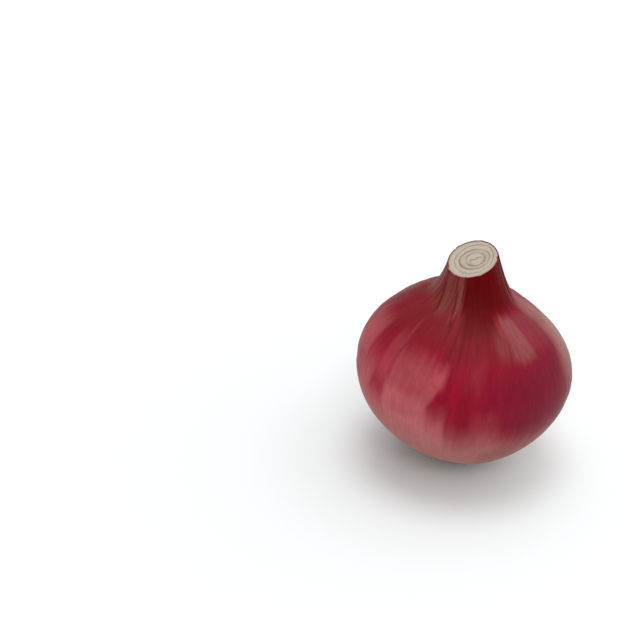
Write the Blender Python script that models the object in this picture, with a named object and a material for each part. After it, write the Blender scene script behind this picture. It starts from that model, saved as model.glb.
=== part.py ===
"""Red onion: one bulb with its neck cut off at a slant, standing on its dried root tuft.

Metres, +Z up. The origin is the middle of the flat foot of the root tuft, on the surface
that the onion stands on. -Y is the onion's front and +X its right.
"""

import math
import random

import bmesh
import bpy
import numpy as np
from mathutils import Matrix, Vector
from mathutils.geometry import interpolate_bezier

MM = 0.001

# Bulb: the outline is drawn from the belly, the widest level, as (radius, height) in metres
BELLY_RADIUS = 38.0 * MM
ROOT_DEPTH = 35.9 * MM
ROOT_HANDLE = 16.0 * MM
BELLY_HANDLE_DOWN = 18.6 * MM
BELLY_HANDLE_UP = 15.9 * MM
SHOULDER_RADIUS = 17.3 * MM
SHOULDER_HEIGHT = 26.8 * MM
SHOULDER_SLOPE = Vector((-0.907, 0.421))
SHOULDER_HANDLE = 4.6 * MM
NECK_TIP_RADIUS = 7.35 * MM
NECK_TIP_HEIGHT = 50.2 * MM
NECK_TIP_SLOPE = Vector((-0.144, 0.989))
NECK_TIP_HANDLE = 11.5 * MM

# Uneven growth, as (waves round the bulb, share of the radius, phase): lobes on the body,
# which fade out towards the root, and pleats on the neck, which fade out down the shoulder
LOBES = ((3, 0.0045, 1.3), (5, 0.0035, 0.6), (8, 0.0016, 2.9))
LOBES_FULL_HEIGHT = -14.4 * MM
PLEATS = ((9, 0.005, 0.4), (14, 0.006, 2.1), (19, 0.004, 4.0))
PLEATS_START_HEIGHT = 9.4 * MM
PLEATS_FULL_HEIGHT = 33.5 * MM
NECK_SQUEEZE = 0.06
NECK_SQUEEZE_ANGLE = 0.0

# Cut: the slanted plane in which the knife went through the neck
CUT_HEIGHT = 41.8 * MM
CUT_TILT = math.radians(22.2)
CUT_FACING = math.radians(211.4)
CUT_ROUNDS = 4

# Cut end: grooves between the leaf bases, as shares of the way from the middle to the rim
GROOVES = (0.16, 0.37, 0.575, 0.785)
GROOVE_HALF_WIDTH = 0.030
GROOVE_DEPTH = 0.55 * MM
RIM_SHARE = 0.955
RIM_DROP = 0.25 * MM
RING_DRIFT = 0.12
RING_DRIFT_ANGLE = math.radians(-90.0)
HEART_SHARE = 0.06

# Stance: the bulb leans to its right, its middle line bows back over the root
LEAN = math.radians(4.8)
BOW_SQUARE = 0.026
BOW_CUBE = -0.061
SCAR_HEIGHT = 3.0 * MM
SCAR_BITE = 1.0 * MM
BELLY_HEIGHT = ROOT_DEPTH + SCAR_HEIGHT - SCAR_BITE

# Root plate: corky, with a flat foot, just clear of the bulb's scar
PLATE_FOOT_RADIUS = 5.0 * MM
PLATE_TOP_RADIUS = 5.5 * MM
PLATE_GAP = 0.3 * MM
PLATE_HEIGHT = SCAR_HEIGHT - PLATE_GAP
PLATE_SIDES = 24

# Rootlets: dried, rooted well inside the plate and splayed out round it
ROOTLETS = 80
ROOTLET_RADIUS = 0.50 * MM
ROOTLET_TIP_SHARE = 0.45
ROOTLET_START_RADIUS = 3.6 * MM
ROOTLET_REACH = (6.4 * MM, 7.8 * MM)
ROOTLET_LOWEST = 0.15 * MM + ROOTLET_RADIUS
ROOTLET_HIGHEST = PLATE_HEIGHT - 1.4 * ROOTLET_RADIUS
ROOTLET_TIP_LIFT = 0.4
ROOTLET_DROOP = 1.5
ROOTLET_JITTER = 0.12
ROOTLET_SWING = 0.35
ROOTLET_SIDES = 4
ROOTLET_STEPS = 3
GOLDEN_ANGLE = math.pi * (3.0 - math.sqrt(5.0))
SEED = 11

# Faces
MERIDIANS = 72
ROOT_STEPS = 13
BELLY_STEPS = 10
NECK_STEPS = 10
FINE_STEPS = 80
MERGE_DISTANCE = 0.001 * MM
BULB_CREASE = math.radians(40.0)
TUFT_CREASE = math.radians(50.0)

# Finishes: colour and roughness
RED_SKIN = ((0.26, 0.012, 0.028), 0.36)
CUT_FLESH = ((0.52, 0.44, 0.34), 0.60)
DRY_ROOT = ((0.13, 0.11, 0.065), 0.90)


def clear_scene():
    for old in list(bpy.data.objects):
        bpy.data.objects.remove(old)


def material(name, finish):
    colour, roughness = finish
    made = bpy.data.materials.new(name)
    made.use_nodes = True
    shader = made.node_tree.nodes["Principled BSDF"]
    shader.inputs["Base Color"].default_value = (*colour, 1.0)
    shader.inputs["Roughness"].default_value = roughness
    shader.inputs["Metallic"].default_value = 0.0
    return made


def smoothstep(low, high, value):
    share = min(1.0, max(0.0, (value - low) / (high - low)))
    return share * share * (3.0 - 2.0 * share)


def from_polar(radius, angle, height):
    return Vector((radius * math.cos(angle), radius * math.sin(angle), height))


def bezier(start, start_handle, end_handle, end, steps):
    """Points along one Bezier stretch of the outline, both ends included."""
    knots = (Vector((*p, 0.0)) for p in (start, start_handle, end_handle, end))
    return [p.to_2d() for p in interpolate_bezier(*knots, steps + 1)]


def outline_root():
    root = Vector((0.0, -ROOT_DEPTH))
    belly = Vector((BELLY_RADIUS, 0.0))
    root_handle = root + Vector((ROOT_HANDLE, 0.0))
    belly_handle = belly - Vector((0.0, BELLY_HANDLE_DOWN))
    return bezier(root, root_handle, belly_handle, belly, ROOT_STEPS)


def outline_shoulder():
    belly = Vector((BELLY_RADIUS, 0.0))
    shoulder = Vector((SHOULDER_RADIUS, SHOULDER_HEIGHT))
    belly_handle = belly + Vector((0.0, BELLY_HANDLE_UP))
    shoulder_handle = shoulder - SHOULDER_SLOPE * SHOULDER_HANDLE
    return bezier(belly, belly_handle, shoulder_handle, shoulder, BELLY_STEPS)


def outline_neck():
    shoulder = Vector((SHOULDER_RADIUS, SHOULDER_HEIGHT))
    tip = Vector((NECK_TIP_RADIUS, NECK_TIP_HEIGHT))
    shoulder_handle = shoulder + SHOULDER_SLOPE * SHOULDER_HANDLE
    tip_handle = tip - NECK_TIP_SLOPE * NECK_TIP_HANDLE
    return bezier(shoulder, shoulder_handle, tip_handle, tip, FINE_STEPS)


NECK_LINE = outline_neck()
NECK_RADII = [p.x for p in NECK_LINE]
NECK_HEIGHTS = [p.y for p in NECK_LINE]


def neck_radius(height):
    return float(np.interp(height, NECK_HEIGHTS, NECK_RADII))


def waves(kinds, angle):
    return sum(size * math.cos(count * angle + phase) for count, size, phase in kinds)


def radial_share(angle, height):
    """How far the section departs from round: lobes on the body, pleats and a squeeze on the neck."""
    on_body = smoothstep(-ROOT_DEPTH, LOBES_FULL_HEIGHT, height)
    on_neck = smoothstep(PLEATS_START_HEIGHT, PLEATS_FULL_HEIGHT, height)
    squeeze = -NECK_SQUEEZE * math.cos(2.0 * (angle - NECK_SQUEEZE_ANGLE))
    return 1.0 + on_body * waves(LOBES, angle) + on_neck * (waves(PLEATS, angle) + squeeze)


def cut_height(angle):
    """Height at which the knife's slanted plane meets the side of the neck at this angle."""
    height = CUT_HEIGHT
    for _ in range(CUT_ROUNDS):
        reach = neck_radius(height) * radial_share(angle, height)
        height = CUT_HEIGHT - reach * math.tan(CUT_TILT) * math.cos(angle - CUT_FACING)
    return height


def middle_line(height):
    share = height / BELLY_RADIUS
    return BELLY_RADIUS * (BOW_SQUARE * share**2 + BOW_CUBE * share**3)


def wall_point(co):
    """Moves a point of the turned outline to its place on the real, uneven bulb."""
    angle = math.atan2(co.y, co.x)
    radius = math.hypot(co.x, co.y)
    height = co.z
    if height > SHOULDER_HEIGHT:
        share = (height - SHOULDER_HEIGHT) / (CUT_HEIGHT - SHOULDER_HEIGHT)
        height = SHOULDER_HEIGHT + share * (cut_height(angle) - SHOULDER_HEIGHT)
        radius = neck_radius(height)
    return from_polar(radius * radial_share(angle, height), angle, height)


def stand_up(co):
    """Bows and leans the bulb, lifts it to its stance and flattens its root end."""
    bowed = Vector((co.x + middle_line(co.z), co.y, co.z))
    stood = Matrix.Rotation(LEAN, 3, "Y") @ bowed + Vector((0.0, 0.0, BELLY_HEIGHT))
    stood.z = max(stood.z, SCAR_HEIGHT)
    return stood


def turned_wall(bm):
    """The outline from root to cut, spun round the axis. Returns the loop of edges at the cut."""
    neck_rows = [
        SHOULDER_HEIGHT + (CUT_HEIGHT - SHOULDER_HEIGHT) * step / NECK_STEPS
        for step in range(1, NECK_STEPS + 1)
    ]
    outline = outline_root() + outline_shoulder()[1:]
    outline += [Vector((neck_radius(height), height)) for height in neck_rows]
    verts = [bm.verts.new((p.x, 0.0, p.y)) for p in outline]
    edges = [bm.edges.new(pair) for pair in zip(verts, verts[1:])]
    bmesh.ops.spin(
        bm, geom=verts + edges, cent=(0, 0, 0), axis=(0, 0, 1),
        angle=math.tau, steps=MERIDIANS, use_merge=True,
    )
    bmesh.ops.remove_doubles(bm, verts=bm.verts, dist=MERGE_DISTANCE)
    return [edge for edge in bm.edges if edge.is_boundary]


def cut_rows():
    """(share of the way to the rim, drop below the cut plane) of each ring of the cut end, inwards."""
    rows = [(RIM_SHARE, RIM_DROP)]
    for groove in reversed(GROOVES):
        rows.append((groove + GROOVE_HALF_WIDTH, 0.0))
        rows.append((groove, GROOVE_DEPTH))
        rows.append((groove - GROOVE_HALF_WIDTH, 0.0))
    rows.append((HEART_SHARE, 0.0))
    return rows


def outer_neighbour(vert, ring):
    """The vertex of the ring outside this one that the new vertex was drawn from."""
    ends = (edge.other_vert(vert) for edge in vert.link_edges)
    return next(end for end in ends if end in ring)


def close_cut(bm, rim_edges):
    """Draws the rim inwards, ring by ring, as the ridges and grooves of the cut leaf bases."""
    centre = Vector((0.0, 0.0, CUT_HEIGHT))
    drift = from_polar(RING_DRIFT * neck_radius(CUT_HEIGHT), RING_DRIFT_ANGLE, 0.0)
    drift.z = -drift.dot(from_polar(1.0, CUT_FACING, 0.0)) * math.tan(CUT_TILT)
    loop = rim_edges
    arms = {vert: vert.co - centre for edge in rim_edges for vert in edge.verts}
    for share, drop in cut_rows():
        made = bmesh.ops.extrude_edge_only(bm, edges=loop)["geom"]
        loop = [item for item in made if isinstance(item, bmesh.types.BMEdge) and item.is_boundary]
        fresh = [item for item in made if isinstance(item, bmesh.types.BMVert)]
        arms = {vert: arms[outer_neighbour(vert, arms)] for vert in fresh}
        for vert, arm in arms.items():
            vert.co = centre + arm * share + drift * (1.0 - share) - Vector((0.0, 0.0, drop))
    bmesh.ops.contextual_create(bm, geom=loop)


def make_object(name, bm, finish):
    mesh = bpy.data.meshes.new(name)
    bm.to_mesh(mesh)
    bm.free()
    mesh.materials.append(finish)
    made = bpy.data.objects.new(name, mesh)
    bpy.context.scene.collection.objects.link(made)
    return made


def make_bulb(skin, flesh):
    bm = bmesh.new()
    rim_edges = turned_wall(bm)
    for vert in bm.verts:
        vert.co = wall_point(vert.co)
    wall_faces = set(bm.faces)
    close_cut(bm, rim_edges)
    for face in bm.faces:
        face.material_index = 0 if face in wall_faces else 1
        face.smooth = True
    for vert in bm.verts:
        vert.co = stand_up(vert.co)
    bmesh.ops.recalc_face_normals(bm, faces=bm.faces)
    bulb = make_object("bulb", bm, skin)
    bulb.data.materials.append(flesh)
    bulb.data.set_sharp_from_angle(angle=BULB_CREASE)
    return bulb


def make_plate(finish):
    """The corky root plate: a low drum with a flat foot, just under the bulb's scar."""
    bm = bmesh.new()
    bmesh.ops.create_cone(
        bm, cap_ends=True, segments=PLATE_SIDES, radius1=PLATE_FOOT_RADIUS,
        radius2=PLATE_TOP_RADIUS, depth=PLATE_HEIGHT,
    )
    bmesh.ops.translate(bm, verts=bm.verts, vec=(0.0, 0.0, 0.5 * PLATE_HEIGHT))
    return make_object("root_tuft", bm, finish)


def rootlet_path(rng, index):
    """A root that leaves the plate's side low down and curls out along the surface."""
    bearing = index * GOLDEN_ANGLE + rng.uniform(-ROOTLET_JITTER, ROOTLET_JITTER)
    reach = rng.uniform(*ROOTLET_REACH)
    start_height = rng.uniform(ROOTLET_LOWEST, ROOTLET_HIGHEST)
    tip_lift = rng.uniform(0.0, ROOTLET_TIP_LIFT)
    tip_height = ROOTLET_LOWEST + tip_lift * (start_height - ROOTLET_LOWEST)
    swing = rng.uniform(-ROOTLET_SWING, ROOTLET_SWING)
    points = []
    for step in range(ROOTLET_STEPS + 1):
        share = step / ROOTLET_STEPS
        radius = ROOTLET_START_RADIUS + (reach - ROOTLET_START_RADIUS) * share
        height = start_height + (tip_height - start_height) * share**ROOTLET_DROOP
        points.append(from_polar(radius, bearing + swing * share**2, height))
    return points


def make_rootlet(name, path, home):
    """A short tapering tube along the path, with closed ends."""
    bm = bmesh.new()
    rings = []
    for step, point in enumerate(path):
        ahead = path[min(step + 1, len(path) - 1)]
        behind = path[max(step - 1, 0)]
        across = (ahead - behind).to_track_quat("Z", "Y").to_matrix()
        thickness = ROOTLET_RADIUS * (1.0 - (1.0 - ROOTLET_TIP_SHARE) * step / ROOTLET_STEPS)
        turns = [math.tau * side / ROOTLET_SIDES for side in range(ROOTLET_SIDES)]
        rings.append([bm.verts.new(point + across @ from_polar(thickness, turn, 0.0)) for turn in turns])
    loops = [[bm.edges.new(pair) for pair in zip(ring, ring[1:] + ring[:1])] for ring in rings]
    for first, second in zip(loops, loops[1:]):
        bmesh.ops.bridge_loops(bm, edges=first + second)
    bm.faces.new(rings[0])
    bm.faces.new(rings[-1])
    bmesh.ops.recalc_face_normals(bm, faces=bm.faces)
    mesh = bpy.data.meshes.new(name)
    bm.to_mesh(mesh)
    bm.free()
    home.objects.link(bpy.data.objects.new(name, mesh))


def shell_of(start):
    """Every face joined to this one by shared edges."""
    shell, waiting = {start}, [start]
    while waiting:
        face = waiting.pop()
        beside = {other for edge in face.edges for other in edge.link_faces} - shell
        shell |= beside
        waiting.extend(beside)
    return shell


def keep_outer_shell(mesh):
    """Fills hollows that crossing rootlets seal, by dropping every shell but the largest."""
    bm = bmesh.new()
    bm.from_mesh(mesh)
    left = set(bm.faces)
    shells = []
    while left:
        shells.append(shell_of(next(iter(left))))
        left -= shells[-1]
    largest = max(shells, key=len)
    bmesh.ops.delete(bm, geom=[face for face in bm.faces if face not in largest], context="FACES")
    bm.to_mesh(mesh)
    bm.free()


def make_root_tuft(finish):
    """The plate and its rootlets, joined into one closed solid."""
    tuft = make_plate(finish)
    rng = random.Random(SEED)
    rootlets = bpy.data.collections.new("rootlets")
    bpy.context.scene.collection.children.link(rootlets)
    for index in range(ROOTLETS):
        make_rootlet(f"rootlet_{index}", rootlet_path(rng, index), rootlets)
    union = tuft.modifiers.new("join_rootlets", "BOOLEAN")
    union.operation = "UNION"
    union.operand_type = "COLLECTION"
    union.collection = rootlets
    union.solver = "MANIFOLD"
    bpy.context.view_layer.update()
    graph = bpy.context.evaluated_depsgraph_get()
    joined = bpy.data.meshes.new_from_object(tuft.evaluated_get(graph))
    keep_outer_shell(joined)
    tuft.modifiers.clear()
    tuft.data = joined
    for rootlet in list(rootlets.objects):
        bpy.data.objects.remove(rootlet)
    bpy.data.collections.remove(rootlets)
    joined.shade_smooth()
    joined.set_sharp_from_angle(angle=TUFT_CREASE)
    return tuft


def main():
    clear_scene()
    make_bulb(material("red_skin", RED_SKIN), material("cut_flesh", CUT_FLESH))
    make_root_tuft(material("dry_root", DRY_ROOT))


main()
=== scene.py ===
# %% [markdown]
# A red onion, standing on its dried roots
#
# An onion bulb is one big bud. Its leaf bases are nested round each other, and the outermost
# have dried to a thin red skin. The neck was cut off at a slant, so the nested leaf bases show
# there as rings, and the dried roots form a low tuft that the bulb stands on.
# The frame holds the plain solids at their real size. The cells below put a finely modelled
# skin, cut end, root plate and rootlets in their place, each with its own finish.

import math
import random
from collections import namedtuple

import bmesh
import bpy
import numpy as np
from mathutils import Matrix, Vector
from mathutils.geometry import interpolate_bezier


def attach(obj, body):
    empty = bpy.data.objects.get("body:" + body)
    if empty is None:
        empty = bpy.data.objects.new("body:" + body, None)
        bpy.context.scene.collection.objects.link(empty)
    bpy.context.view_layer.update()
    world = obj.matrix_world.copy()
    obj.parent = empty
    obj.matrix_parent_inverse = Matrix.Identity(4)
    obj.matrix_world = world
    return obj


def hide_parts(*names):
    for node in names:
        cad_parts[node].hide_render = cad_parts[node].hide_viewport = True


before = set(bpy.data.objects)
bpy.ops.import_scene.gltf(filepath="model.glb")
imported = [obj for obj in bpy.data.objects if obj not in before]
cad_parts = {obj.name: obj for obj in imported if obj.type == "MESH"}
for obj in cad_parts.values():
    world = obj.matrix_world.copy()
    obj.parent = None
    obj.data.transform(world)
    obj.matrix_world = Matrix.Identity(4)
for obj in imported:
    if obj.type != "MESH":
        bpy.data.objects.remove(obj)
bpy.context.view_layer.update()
MM = 0.001
print("frame nodes:", sorted(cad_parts))

# %% [markdown]
# The camera
#
# The photograph looks down on the onion at about 28 degrees, from a little to its left. The
# lens and place were worked out from the bulb's outline and the ellipse of the cut neck. The
# onion sits right of the middle of the frame, as in the photograph, so no shift is needed.

# %% Place the camera
CAMERA_PLACE = Vector((-50.8, -324.1, 227.3)) * MM
CAMERA_PITCH = math.radians(27.9)
LENS = 59.06
SENSOR = 36.0


def add_object(name, data):
    made = bpy.data.objects.new(name, data)
    bpy.context.scene.collection.objects.link(made)
    return made


camera_data = bpy.data.cameras.new("camera")
camera_data.lens = LENS
camera_data.sensor_width = SENSOR
camera = add_object("camera", camera_data)
camera.location = CAMERA_PLACE
camera.rotation_euler = (math.pi / 2.0 - CAMERA_PITCH, 0.0, 0.0)
bpy.context.scene.camera = camera
print("camera at", tuple(round(value, 4) for value in camera.location))

# %% [markdown]
# Finishes as small node trees
#
# Every finish below is a short chain of nodes: noise that varies the colour, masks that are
# written on the mesh, and one Principled shader at the end. A small class keeps that readable.
# Each of its methods adds one node and gives back its output, so that a chain reads like a
# formula. Colours are written as 0 to 255 values, and are changed to the linear values that
# the shader works in.

# %% A helper for building finishes


def srgb(red, green, blue):
    """A colour given as 0 to 255 values, as linear values."""
    shares = [value / 255.0 for value in (red, green, blue)]
    return tuple(v / 12.92 if v <= 0.04045 else ((v + 0.055) / 1.055) ** 2.4 for v in shares)


class Finish:
    """A material in the making. Each method adds a node and returns its output."""

    def __init__(self, name):
        self.material = bpy.data.materials.new(name)
        self.material.use_nodes = True
        self.nodes = self.material.node_tree.nodes
        self.shader = self.nodes["Principled BSDF"]

    def feed(self, socket, value):
        if isinstance(value, bpy.types.NodeSocket):
            self.material.node_tree.links.new(value, socket)
        elif isinstance(value, tuple) and len(socket.default_value) == 4:
            socket.default_value = (*value[:3], 1.0)
        else:
            socket.default_value = value

    def add(self, kind, inputs=(), **settings):
        node = self.nodes.new(kind)
        for name, value in settings.items():
            setattr(node, name, value)
        for key, value in dict(inputs).items():
            self.feed(node.inputs[key], value)
        return node

    def written(self, name, kind="Fac"):
        """A value that was written on the mesh."""
        return self.add("ShaderNodeAttribute", attribute_name=name).outputs[kind]

    def place(self):
        return self.add("ShaderNodeTexCoord").outputs["Object"]

    def stretch(self, vector, scale):
        return self.add("ShaderNodeVectorMath", {0: vector, 1: scale}, operation="MULTIPLY").outputs[0]

    def noise(self, vector, scale=1.0, detail=3.0, roughness=0.55):
        inputs = {"Vector": vector, "Scale": scale, "Detail": detail, "Roughness": roughness}
        return self.add("ShaderNodeTexNoise", inputs).outputs["Fac"]

    def calc(self, operation, first, second=0.0):
        return self.add("ShaderNodeMath", {0: first, 1: second}, operation=operation).outputs[0]

    def ramp(self, value, low, high, to_low=0.0, to_high=1.0):
        """Carries value from low..high to to_low..to_high, with soft ends."""
        inputs = {"Value": value, "From Min": low, "From Max": high, "To Min": to_low, "To Max": to_high}
        node = self.add("ShaderNodeMapRange", inputs, interpolation_type="SMOOTHSTEP")
        return node.outputs["Result"]

    def mix(self, share, first, second, blend="MIX"):
        inputs = {0: share, 6: first, 7: second}
        return self.add("ShaderNodeMix", inputs, data_type="RGBA", blend_type=blend).outputs[2]

    def bump(self, height, distance, normal=None):
        inputs = {"Height": height, "Distance": distance}
        if normal is not None:
            inputs["Normal"] = normal
        return self.add("ShaderNodeBump", inputs).outputs["Normal"]

    def finish(self, **sockets):
        """Feeds the shader: socket names are written with _ for a space."""
        for name, value in sockets.items():
            self.feed(self.shader.inputs[name.replace("_", " ")], value)
        return self.material


print("finish helper ready")

# %% [markdown]
# The floor and the light
#
# The photograph shows the onion on a white floor that runs on into a white backdrop, with one
# very soft shadow that is nearly centred under the bulb. Area lamps close by would darken the
# floor's far corners. Sun lamps light it evenly, and a sun that is tens of degrees wide casts
# the same soft shadow as a large softbox. One stands overhead, a very wide one to the right and
# a third in front, and a pale surround fills in the rest.

# %% Light the floor
FLOOR_SIZE = 4.0
FLOOR_WHITE = (0.86, 0.90, 0.90)
SURROUND_SEEN = 1.0
SURROUND_LIGHT = 0.335
Lamp = namedtuple("Lamp", "name around height width share")
LAMPS = (
    Lamp("top_light", 0.0, 90.0, 30.0, 0.215),
    Lamp("side_light", 0.0, 65.0, 110.0, 0.553),
    Lamp("front_light", -90.0, 40.0, 30.0, 0.200),
)

floor_mesh = bpy.data.meshes.new("floor")
bm = bmesh.new()
bmesh.ops.create_grid(bm, x_segments=1, y_segments=1, size=FLOOR_SIZE)
bm.to_mesh(floor_mesh)
bm.free()
floor = add_object("floor", floor_mesh)
floor_finish = Finish("white_floor")
floor_mesh.materials.append(
    floor_finish.finish(Base_Color=FLOOR_WHITE, Roughness=1.0, Specular_IOR_Level=0.0)
)


def add_sun(lamp):
    """A sun lamp at an angle round the onion and a height in degrees, and its width in degrees."""
    around, height = math.radians(lamp.around), math.radians(lamp.height)
    level = math.cos(height)
    source = Vector((math.cos(around) * level, math.sin(around) * level, math.sin(height)))
    data = bpy.data.lights.new(lamp.name, "SUN")
    data.angle = math.radians(lamp.width)
    data.energy = math.pi * lamp.share
    add_object(lamp.name, data).rotation_euler = source.to_track_quat("Z", "Y").to_euler()


for lamp in LAMPS:
    add_sun(lamp)

world = bpy.data.worlds.new("pale_surround")
bpy.context.scene.world = world
world.use_nodes = True
nodes, links = world.node_tree.nodes, world.node_tree.links
surround = nodes["Background"]
surround.inputs["Color"].default_value = (1.0, 1.0, 1.0, 1.0)
path = nodes.new("ShaderNodeLightPath")
strength = nodes.new("ShaderNodeMix")
strength.inputs["A"].default_value = SURROUND_LIGHT
strength.inputs["B"].default_value = SURROUND_SEEN
links.new(path.outputs["Is Camera Ray"], strength.inputs["Factor"])
links.new(strength.outputs["Result"], surround.inputs["Strength"])
bpy.context.scene.view_settings.view_transform = "Standard"

# %% [markdown]
# The bulb's outline
#
# A bulb could be sculpted, or subdivided from a rough cage. It grew round one axis, though, so
# the surest way is a lathe: draw half the outline once and spin it. The outline is three
# Bezier stretches, root to belly, belly to shoulder and shoulder to neck, the same ones that
# the frame's solid was made from. Heights are measured from the belly, the widest level.

# %% Draw the outline
BELLY_RADIUS = 38.0 * MM
ROOT_DEPTH = 35.9 * MM
ROOT_HANDLE = 16.0 * MM
BELLY_HANDLE_DOWN = 18.6 * MM
BELLY_HANDLE_UP = 15.9 * MM
SHOULDER_RADIUS = 17.3 * MM
SHOULDER_HEIGHT = 26.8 * MM
SHOULDER_SLOPE = Vector((-0.907, 0.421))
SHOULDER_HANDLE = 4.6 * MM
NECK_TIP_RADIUS = 7.35 * MM
NECK_TIP_HEIGHT = 50.2 * MM
NECK_TIP_SLOPE = Vector((-0.144, 0.989))
NECK_TIP_HANDLE = 11.5 * MM
CUT_HEIGHT = 41.8 * MM
ROOT_STEPS, SHOULDER_STEPS, NECK_STEPS = 92, 64, 38
FINE_STEPS = 120


def bezier(start, start_handle, end_handle, end, steps):
    """Points along one Bezier stretch, both ends included."""
    knots = (Vector((*p, 0.0)) for p in (start, start_handle, end_handle, end))
    return [p.to_2d() for p in interpolate_bezier(*knots, steps + 1)]


root = Vector((0.0, -ROOT_DEPTH))
belly = Vector((BELLY_RADIUS, 0.0))
shoulder = Vector((SHOULDER_RADIUS, SHOULDER_HEIGHT))
neck_tip = Vector((NECK_TIP_RADIUS, NECK_TIP_HEIGHT))
shoulder_arm = SHOULDER_SLOPE * SHOULDER_HANDLE
root_handle = root + Vector((ROOT_HANDLE, 0.0))
belly_below = belly - Vector((0.0, BELLY_HANDLE_DOWN))
belly_above = belly + Vector((0.0, BELLY_HANDLE_UP))
neck_line = bezier(shoulder, shoulder + shoulder_arm, neck_tip - NECK_TIP_SLOPE * NECK_TIP_HANDLE,
                   neck_tip, FINE_STEPS)
NECK_HEIGHTS = np.array([p.y for p in neck_line])
NECK_RADII = np.array([p.x for p in neck_line])


def neck_radius(height):
    return np.interp(height, NECK_HEIGHTS, NECK_RADII)


outline = bezier(root, root_handle, belly_below, belly, ROOT_STEPS)
outline += bezier(belly, belly_above, shoulder - shoulder_arm, shoulder, SHOULDER_STEPS)[1:]
for height in np.linspace(SHOULDER_HEIGHT, CUT_HEIGHT, NECK_STEPS + 1)[1:]:
    outline.append(Vector((float(neck_radius(height)), float(height))))
OUTLINE = np.array(outline)
STEP_LENGTHS = np.hypot(*np.diff(OUTLINE, axis=0).T)
ALONG = np.concatenate(([0.0], np.cumsum(STEP_LENGTHS)))
SLOPES = np.gradient(OUTLINE, axis=0)
SLOPES /= np.hypot(*SLOPES.T)[:, None]
print(f"outline: {len(outline)} points, {ALONG[-1] / MM:.1f} mm from root to cut")

# %% [markdown]
# How the bulb departs from a perfect lathe shape
#
# Nothing that grew is perfectly round. The body has a few broad lobes, the neck is squeezed
# and pleated, the whole bulb leans to one side, and the knife's cut is a slanted plane. Each
# of these is a short formula of the angle round the bulb and the height, so the same formulas
# place the skin, the rim and the cut end, and they meet exactly.

# %% Lobes, pleats, cut and lean
LOBES = ((3, 0.0045, 1.3), (5, 0.0035, 0.6), (8, 0.0016, 2.9))
LOBES_FULL_HEIGHT = -14.4 * MM
PLEATS = ((9, 0.005, 0.4), (14, 0.006, 2.1), (19, 0.004, 4.0))
PLEATS_START_HEIGHT = 9.4 * MM
PLEATS_FULL_HEIGHT = 33.5 * MM
NECK_SQUEEZE = 0.06
NECK_SQUEEZE_ANGLE = 0.0
CUT_TILT = math.radians(22.2)
CUT_FACING = math.radians(211.4)
CUT_ROUNDS = 4
LEAN = math.radians(4.8)
BOW_SQUARE = 0.026
BOW_CUBE = -0.061
SCAR_HEIGHT = 3.0 * MM
SCAR_BITE = 1.0 * MM
BELLY_HEIGHT = ROOT_DEPTH + SCAR_HEIGHT - SCAR_BITE


def soft_step(low, high, value):
    share = np.clip((value - low) / (high - low), 0.0, 1.0)
    return share * share * (3.0 - 2.0 * share)


def waves(kinds, angle):
    return sum(size * np.cos(count * angle + phase) for count, size, phase in kinds)


def radial_share(angle, height):
    """How far a section departs from round, as a share of its radius."""
    on_body = soft_step(-ROOT_DEPTH, LOBES_FULL_HEIGHT, height)
    on_neck = soft_step(PLEATS_START_HEIGHT, PLEATS_FULL_HEIGHT, height)
    squeeze = -NECK_SQUEEZE * np.cos(2.0 * (angle - NECK_SQUEEZE_ANGLE))
    return 1.0 + on_body * waves(LOBES, angle) + on_neck * (waves(PLEATS, angle) + squeeze)


def knife_drop(reach, angle):
    """How far the slanted cut lies below the middle of the cut, at this distance and angle."""
    return reach * math.tan(CUT_TILT) * np.cos(angle - CUT_FACING)


def rim(angle):
    """(reach, height) of the cut's rim at each angle."""
    height = np.full_like(angle, CUT_HEIGHT)
    for _ in range(CUT_ROUNDS):
        reach = neck_radius(height) * radial_share(angle, height)
        height = CUT_HEIGHT - knife_drop(reach, angle)
    return reach, height


def stand_up(x, y, z):
    """Bows and leans the bulb, lifts it to its stance and flattens its root end."""
    share = z / BELLY_RADIUS
    bowed = x + BELLY_RADIUS * (BOW_SQUARE * share**2 + BOW_CUBE * share**3)
    stood_x = bowed * math.cos(LEAN) + z * math.sin(LEAN)
    stood_z = z * math.cos(LEAN) - bowed * math.sin(LEAN) + BELLY_HEIGHT
    return np.stack([stood_x, y, np.maximum(stood_z, SCAR_HEIGHT)], axis=-1)


angles = np.linspace(0.0, math.tau, 8, endpoint=False)
print("rim heights in mm:", np.round((rim(angles)[1] + BELLY_HEIGHT) / MM, 1))

# %% [markdown]
# Dry film, tints and creases: the marks on the skin
#
# The outermost skin has dried to a thin pink film. Parts of it have torn away, and the deep red
# skin below shows between them. It is painted rosier on the left, as painted light, and plum on
# the right, as painted shade, and both tints come round the back as the skin's own tone. Grey
# film is laid along the right shoulder as two painted highlights, along the right rim as a
# painted sheen, and over the lower right as painted sheen and shade. The neck is dark maroon in
# front and a dull tan beside it, and the skin turns pale, then straw-coloured, towards the roots.
# Painting an image would need a picture. Here each patch, tint or crease is a streak, described
# by where it lies: the angle round the bulb, and the distance along the skin from the root.

# %% The dry film
# Angles are in degrees, -90 being the front. Lengths are in mm along the skin from the root. A
# streak lies around an angle, reaches half to each side and runs from low to high, and slant is
# how far it turns on the way. Its sides and both ends are blurred, and teeth roughen its ends
Streak = namedtuple("Streak", "around half low high slant side_blur low_blur high_blur teeth strength")
# These two lie past the skin's own ends
ROOT_END, NECK_END = -60.0, 160.0

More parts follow.
